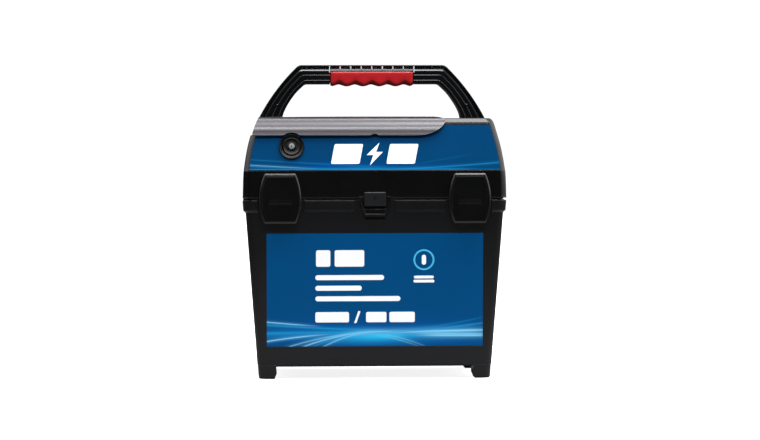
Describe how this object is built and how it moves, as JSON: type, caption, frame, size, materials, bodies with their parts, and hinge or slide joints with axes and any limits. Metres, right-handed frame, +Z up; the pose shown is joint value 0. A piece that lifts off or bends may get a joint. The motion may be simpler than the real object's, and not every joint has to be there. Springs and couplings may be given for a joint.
{
  "type": "fence energizer",
  "caption": "Portable battery fence energizer: tapered battery box, hinged electronics lid with sloping panel, hood, push switch, side latches and a carrying handle with a soft grip.",
  "frame": {"origin": "on the floor, under the middle of the casing", "axes": "+Z up, -Y is the front with the labels and latches, +X to the right seen from the front"},
  "size_m": [0.2842, 0.2133, 0.3404],
  "materials": {
    "case_black": "fine grained injection-moulded plastic, satin",
    "lid_black": "fine grained injection-moulded plastic, satin",
    "hood_black": "smooth satin moulded plastic",
    "label_blue": "printed polyester label, semi-gloss",
    "grip_red": "soft-touch moulded elastomer",
    "switch_black": "semi-gloss moulded plastic",
    "lens_clear": "milky clear acrylic",
    "lens_dark": "dark smoked acrylic",
    "seal_rubber": "matt rubber",
    "zinc_steel": "zinc-plated steel",
    "post_brass": "tinned brass",
    "core_steel": "varnished steel laminations",
    "coil_tape": "amber winding tape",
    "capacitor_blue": "shrink sleeve",
    "board_green": "solder-masked circuit board",
    "battery_grey": "moulded battery case",
    "wire_red": "red insulation",
    "wire_black": "black insulation",
    "knob_red": "moulded plastic",
    "knob_green": "moulded plastic"
  },
  "bodies": {
    "base": {"battery_box": "case_black", "front_label": "label_blue", "fence_battery": "battery_grey", "battery_post_positive": "post_brass", "battery_post_negative": "post_brass", "battery_clip_red": "wire_red", "battery_clip_black": "wire_black", "lead_red": "wire_red", "lead_black": "wire_black", "latch_pin_left": "zinc_steel", "latch_pin_right": "zinc_steel", "hinge_pin_left": "zinc_steel", "hinge_pin_right": "zinc_steel"},
    "lid": {"lid_shell": "lid_black", "lid_floor_plate": "case_black", "lid_seal": "seal_rubber", "hood": "hood_black", "top_label": "label_blue", "handle_frame": "case_black", "handle_grip": "grip_red", "handle_screw_left": "zinc_steel", "handle_screw_right": "zinc_steel", "switch_bezel": "switch_black", "switch_nut": "switch_black", "switch_body": "switch_black", "switch_spring": "zinc_steel", "indicator_lens": "lens_dark", "fence_stud": "zinc_steel", "fence_washer": "zinc_steel", "earth_stud": "zinc_steel", "earth_washer": "zinc_steel", "circuit_board": "board_green", "storage_capacitor": "capacitor_blue", "transformer_core": "core_steel", "transformer_coil": "coil_tape", "lead_grommet": "seal_rubber", "floor_screw_1": "zinc_steel", "floor_screw_2": "zinc_steel", "floor_screw_3": "zinc_steel", "floor_screw_4": "zinc_steel"},
    "left_latch": {"latch_left": "lid_black"},
    "right_latch": {"latch_right": "lid_black"},
    "button": {"power_button": "switch_black", "button_lens": "lens_clear"},
    "catch": {"catch_slider": "lid_black"},
    "fence_terminal_knob": {"fence_knob": "knob_red"},
    "earth_terminal_knob": {"earth_knob": "knob_green"}
  },
  "joints": [
    {"name": "lid_hinge", "type": "hinge", "parent": "base", "child": "lid", "pos_m": [0, 0.1032, 0.192], "axis": [-1, 0, 0], "range_deg": [0, 100]},
    {"name": "left_latch_pivot", "type": "hinge", "parent": "base", "child": "left_latch", "pos_m": [-0.1018, -0.1006, 0.1715], "axis": [1, 0, 0], "range_deg": [0, 95]},
    {"name": "right_latch_pivot", "type": "hinge", "parent": "base", "child": "right_latch", "pos_m": [0.1018, -0.1006, 0.1715], "axis": [1, 0, 0], "range_deg": [0, 95]},
    {"name": "power_button_press", "type": "slide", "parent": "lid", "child": "button", "axis": [0, 0.9703, -0.2419], "range_m": [0, 0.0022], "deforming": ["switch_spring"]},
    {"name": "catch_slide", "type": "slide", "parent": "lid", "child": "catch", "axis": [0, 0, -1], "range_m": [0, 0.003]},
    {"name": "fence_knob_turn", "type": "hinge", "parent": "lid", "child": "fence_terminal_knob", "pos_m": [0.045, 0.096, 0.247], "axis": [0, 1, 0], "continuous": true},
    {"name": "earth_knob_turn", "type": "hinge", "parent": "lid", "child": "earth_terminal_knob", "pos_m": [-0.045, 0.096, 0.247], "axis": [0, 1, 0], "continuous": true}
  ]
}
